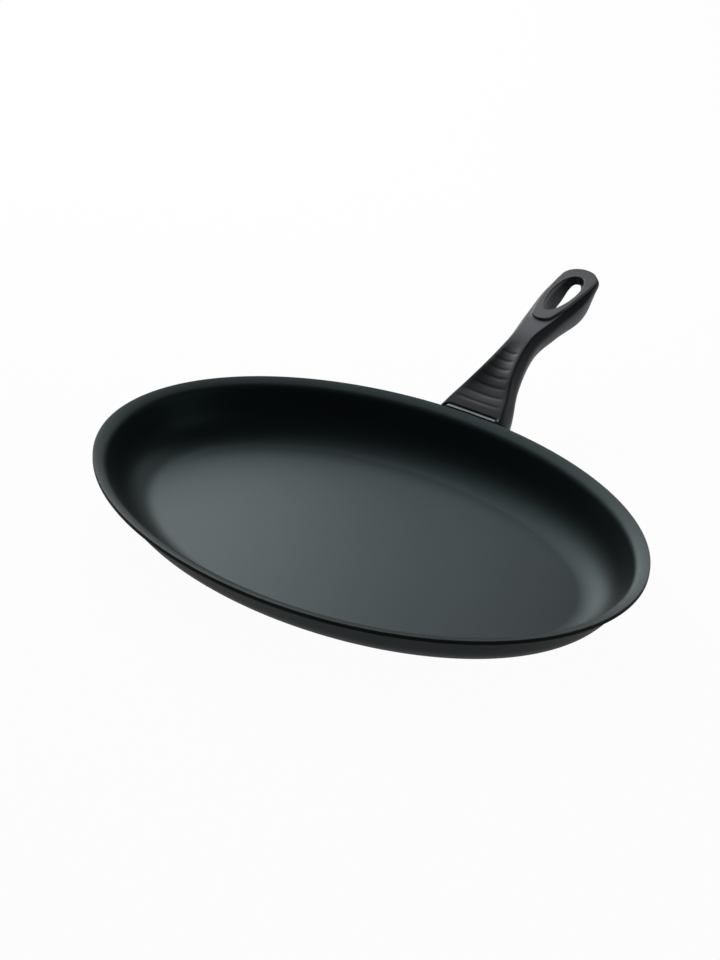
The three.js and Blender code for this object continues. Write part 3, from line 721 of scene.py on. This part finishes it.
verts, pocket = extrude(grip, front_edges)
for vert in verts:
    side = max(-POCKET_HALF, min(POCKET_HALF, vert.co.x / MM))
    height = max(POCKET_BOTTOM, min(POCKET_TOP, vert.co.z / MM - LIP_LEVEL))
    vert.co = Vector((side, vert.co.y / MM + POCKET_STEP, LIP_LEVEL + height)) * MM
verts, pocket = extrude(grip, pocket)
for vert in verts:
    vert.co.y = (HALF_WIDTH + POCKET_END) * MM
bmesh.ops.contextual_create(grip, geom=pocket)
bmesh.ops.recalc_face_normals(grip, faces=grip.faces)
print("grip cage:", len(grip.faces), "faces,", sum(edge.is_boundary for edge in grip.edges), "open edges")

# %% [markdown]
# The skin of the moulding is smooth everywhere. The cage could be drawn finer for that, but a
# Subdivision Surface rounds it just as well and leaves the cage easy to change. It stays a modifier,
# with the same level in the viewport as in the render.

# %% Make the grip a piece
GRIP_LEVELS = 2

grip_piece = as_piece("moulded_grip", grip, "handle_grip")
smooth = grip_piece.modifiers.new("smooth", "SUBSURF")
smooth.levels = smooth.render_levels = GRIP_LEVELS
print("grip piece is rounded", smooth.levels, "times")

# %% [markdown]
# ## Finishes
# Each finish is a small set of nodes on Object coordinates, so a pattern keeps its size in metres and
# stays on the piece. Noise at two scales does most of the work: a wide one for the clouds in a coat and
# a fine one for its grain. Photographs of real coats would also do, but then every piece would have to
# be unwrapped first.

# %% Nodes by name
NOISE_ROUGHNESS, NOISE_LOW, NOISE_HIGH = 0.6, 0.3, 0.7  # and the range where most of a noise lies


def node(tree, kind, inputs, **settings):
    """Adds a node, sets its options and fills or links its sockets."""
    made = tree.nodes.new(kind)
    for key, value in settings.items():
        setattr(made, key, value)
    for name, value in inputs.items():
        if isinstance(value, bpy.types.NodeSocket):
            tree.links.new(value, made.inputs[name])
        else:
            made.inputs[name].default_value = value
    return made


def grain(tree, scale, detail):
    """Noise of one size on Object coordinates: its value from 0 to 1."""
    where = node(tree, "ShaderNodeTexCoord", {}).outputs["Object"]
    inputs = {"Vector": where, "Scale": scale, "Detail": detail, "Roughness": NOISE_ROUGHNESS}
    return node(tree, "ShaderNodeTexNoise", inputs).outputs["Fac"]


def between(tree, value, low, high):
    """Maps the middle of a noise onto a range of numbers."""
    inputs = {"Value": value, "From Min": NOISE_LOW, "From Max": NOISE_HIGH, "To Min": low, "To Max": high}
    return node(tree, "ShaderNodeMapRange", inputs).outputs["Result"]


def two_tones(tree, value, dark, light):
    """Mixes two colours by a value."""
    mix = node(tree, "ShaderNodeMix", {"Factor": value}, data_type="RGBA")
    colours = [socket for socket in mix.inputs if socket.type == "RGBA"]
    colours[0].default_value, colours[1].default_value = (*dark, 1), (*light, 1)
    return next(socket for socket in mix.outputs if socket.type == "RGBA")


print("a noise is used from", NOISE_LOW, "to", NOISE_HIGH)

# %% [markdown]
# All the finishes here are satin: an even colour that clouds a little, and a fine grain that spreads
# the light. So one function makes them all. The grain drives the roughness and a very low bump, and
# what is constant, such as the strength of the sheen, is set on the shader itself.

# %% One function for every finish
WIDE_DETAIL, FINE_DETAIL, BUMP_HEIGHT = 3.0, 2.0, 0.0001


def finish(name, tones, cloud, rough, fine, bump, **constants):
    """A material: two tones by a wide noise, roughness and bump by a fine one."""
    material = bpy.data.materials.new(name)
    material.use_nodes = True
    tree = material.node_tree
    shader = tree.nodes["Principled BSDF"]
    for socket, value in constants.items():
        shader.inputs[socket.replace("_", " ")].default_value = value
    wide, small = grain(tree, cloud, WIDE_DETAIL), grain(tree, fine, FINE_DETAIL)
    tree.links.new(two_tones(tree, between(tree, wide, 0, 1), *tones), shader.inputs["Base Color"])
    tree.links.new(between(tree, small, *rough), shader.inputs["Roughness"])
    inputs = {"Height": small, "Strength": bump, "Distance": BUMP_HEIGHT}
    tree.links.new(node(tree, "ShaderNodeBump", inputs).outputs["Normal"], shader.inputs["Normal"])
    print("finish:", name)
    return material


# %% [markdown]
# Inside, the pan has a dark grey non-stick coat with a soft sheen that leans to green. Outside, it has
# a duller enamel. The trimmed edge of the lip is coloured nearly black, which is painted shade for an
# edge that faces the dark front. The tint of the sheen carries most of the green, because the coat's
# own colour is too dark to show much of it.

# %% Coats of the pan
GREEN_SHEEN = (0.6, 1.0, 1.06, 1)

cooking_coat = finish("non_stick_coat", ((0.0132, 0.0168, 0.0175), (0.0148, 0.0188, 0.0195)), cloud=18.0,
                      rough=(0.4, 0.44), fine=900.0, bump=0.1,
                      Specular_IOR_Level=0.2, Specular_Tint=GREEN_SHEEN)
outer_coat = finish("outer_enamel", ((0.0095, 0.0128, 0.0132), (0.0115, 0.0152, 0.0156)), cloud=25.0,
                    rough=(0.5, 0.58), fine=1200.0, bump=0.12,
                    Specular_IOR_Level=0.06, Specular_Tint=GREEN_SHEEN)
# painted shade: the lip's edge is coloured nearly black for the shade it lies in
shaded_edge_coat = finish("lip_edge_painted_shade", ((0.0035, 0.004, 0.004), (0.005, 0.0056, 0.0056)), cloud=40.0,
                   rough=(0.55, 0.62), fine=1200.0, bump=0.1, Specular_IOR_Level=0.05)
for coat in (cooking_coat, outer_coat, shaded_edge_coat):
    pan_piece.data.materials.append(coat)
print("pan has", len(pan_piece.data.materials), "finishes")

# %% [markdown]
# The grip is a black phenolic moulding with a fine satin skin. The guard is thin sheet metal under a
# coat, coloured a lighter grey than the pan as painted sheen for the light that the strip catches. The
# bracket inside the grip is bare cast aluminium, and the screw and its washer are zinc plated steel.
# These four keep the shapes of their solids, because they hardly show, so only their material slots are
# filled.

# %% Moulding and metals
moulding = finish("satin_moulding", ((0.0195, 0.0215, 0.0235), (0.022, 0.0242, 0.0262)), cloud=60.0,
                  rough=(0.41, 0.47), fine=1500.0, bump=0.15,
                  Specular_IOR_Level=0.3, Specular_Tint=(0.85, 0.95, 1.05, 1))
grip_piece.data.materials.append(moulding)
# painted sheen: the guard's grey is lighter than its coat, for the light that the strip catches
guard_coat_and_painted_sheen = finish("guard_enamel_and_painted_sheen", ((0.11, 0.13, 0.137), (0.13, 0.15, 0.157)), cloud=80.0,
                    rough=(0.38, 0.46), fine=900.0, bump=0.1, Metallic=0.4)
bare_aluminium = finish("cast_aluminium", ((0.5, 0.52, 0.53), (0.6, 0.62, 0.63)), cloud=120.0,
                        rough=(0.35, 0.5), fine=700.0, bump=0.3, Metallic=1.0)
zinc_steel = finish("zinc_steel", ((0.55, 0.55, 0.56), (0.66, 0.66, 0.67)), cloud=300.0,
                    rough=(0.25, 0.4), fine=2500.0, bump=0.15, Metallic=1.0)
dressed = {"flame_guard": guard_coat_and_painted_sheen, "handle_bracket": bare_aluminium,
           "grip_screw": zinc_steel, "lock_washer": zinc_steel}
for name, material in dressed.items():
    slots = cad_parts[name].data.materials
    slots.clear()
    slots.append(material)
print("solids with a finish:", sorted(dressed))

# %% [markdown]
# ## Floor and light
# The pan stands on a plain white floor that goes on past the edge of the picture. A lit floor alone
# would turn grey at its far end. So to the camera and in reflections the floor is nearly white by
# itself, and a small share of it still takes light and shadow, which keeps the pan's shadow on it.

# %% Floor
FLOOR_HALF, FLOOR_DROP, FLOOR_CELLS = 40.0, 0.0002, 8  # metres, with a small gap under the base
PAPER_GREY, PAPER_ROUGHNESS, GLOW_SHARE = 0.85, 0.9, 0.97

sheet = bmesh.new()
bmesh.ops.create_grid(sheet, x_segments=FLOOR_CELLS, y_segments=FLOOR_CELLS, size=FLOOR_HALF)
bmesh.ops.translate(sheet, verts=sheet.verts, vec=(0, 0, -FLOOR_DROP))
floor_data = bpy.data.meshes.new("floor")
sheet.to_mesh(floor_data)
sheet.free()
floor = bpy.data.objects.new("floor", floor_data)
bpy.context.scene.collection.objects.link(floor)
print("floor is", 2 * FLOOR_HALF, "m wide")

# %% [markdown]
# The paper's shader asks which kind of ray meets it. For rays that come from the camera, off a glossy
# surface or through glass, it is mostly a light of strength 1, which is white in the Standard view.
# For all other rays it is only matte paper, so its own light doesn't brighten the pan from below.

# %% White paper
paper = bpy.data.materials.new("white_paper")
paper.use_nodes = True
tree = paper.node_tree
paper_shader = tree.nodes["Principled BSDF"]
paper_shader.inputs["Base Color"].default_value = (PAPER_GREY, PAPER_GREY, PAPER_GREY, 1)
paper_shader.inputs["Roughness"].default_value = PAPER_ROUGHNESS
rays_from = node(tree, "ShaderNodeLightPath", {})
seen = rays_from.outputs["Is Camera Ray"]
for name in ("Is Glossy Ray", "Is Transmission Ray"):
    either = node(tree, "ShaderNodeMath", {0: seen, 1: rays_from.outputs[name]}, operation="MAXIMUM")
    seen = either.outputs[0]
share = node(tree, "ShaderNodeMath", {0: seen, 1: GLOW_SHARE}, operation="MULTIPLY").outputs[0]
glow = node(tree, "ShaderNodeEmission", {"Color": (1, 1, 1, 1), "Strength": 1.0}).outputs[0]
mixed = node(tree, "ShaderNodeMixShader", {0: share, 1: paper_shader.outputs[0], 2: glow})
tree.links.new(mixed.outputs[0], tree.nodes["Material Output"].inputs["Surface"])
floor_data.materials.append(paper)
print("paper has", len(tree.nodes), "nodes")

# %% [markdown]
# A large soft lamp stands low behind the pan on the left and gives the pan's floor its sheen. Weaker
# ones stand on the left and on the right. A small one behind the tip and a high one above it draw the
# grip's edges. The front stays dark, so the walls that face it stay dark too. Sun lamps would be simpler
# to aim, but their light is too hard for a satin coat.

# %% Lamps
PAN_MIDDLE, GRIP_MIDDLE = (0, 0.03, 0.03), (0, 0.25, 0.06)
ROOM_GREY = 0.06


def soft_lamp(name, place, aim, size, power):
    """A rectangular area lamp that faces a point."""
    lamp = bpy.data.lights.new(name, "AREA")
    lamp.shape, lamp.energy = "RECTANGLE", power
    lamp.size, lamp.size_y = size
    lit = bpy.data.objects.new(name, lamp)
    lit.location = place
    lit.rotation_euler = (Vector(aim) - Vector(place)).to_track_quat("-Z", "Y").to_euler()
    bpy.context.scene.collection.objects.link(lit)
    return lit


lamps = [
    soft_lamp("key_lamp", (-0.87, 0.84, 0.58), PAN_MIDDLE, (0.6, 0.85), 8.9),
    soft_lamp("left_lamp", (-0.82, 0.36, 0.86), PAN_MIDDLE, (0.6, 0.9), 3.0),
    soft_lamp("right_lamp", (1.06, 0.07, 0.78), PAN_MIDDLE, (0.6, 0.6), 1.0),
    soft_lamp("back_lamp", (-0.14, 0.54, 0.38), GRIP_MIDDLE, (0.2, 0.2), 0.34),
    soft_lamp("high_lamp", (-0.62, 0.98, 0.95), GRIP_MIDDLE, (0.5, 0.5), 1.0),
]
world = bpy.data.worlds.new("dim_room")
world.use_nodes = True
world.node_tree.nodes["Background"].inputs["Color"].default_value = (ROOM_GREY, ROOM_GREY, ROOM_GREY, 1)
bpy.context.scene.world = world
bpy.context.scene.view_settings.view_transform = "Standard"
print("lamps:", [lamp.name for lamp in lamps])
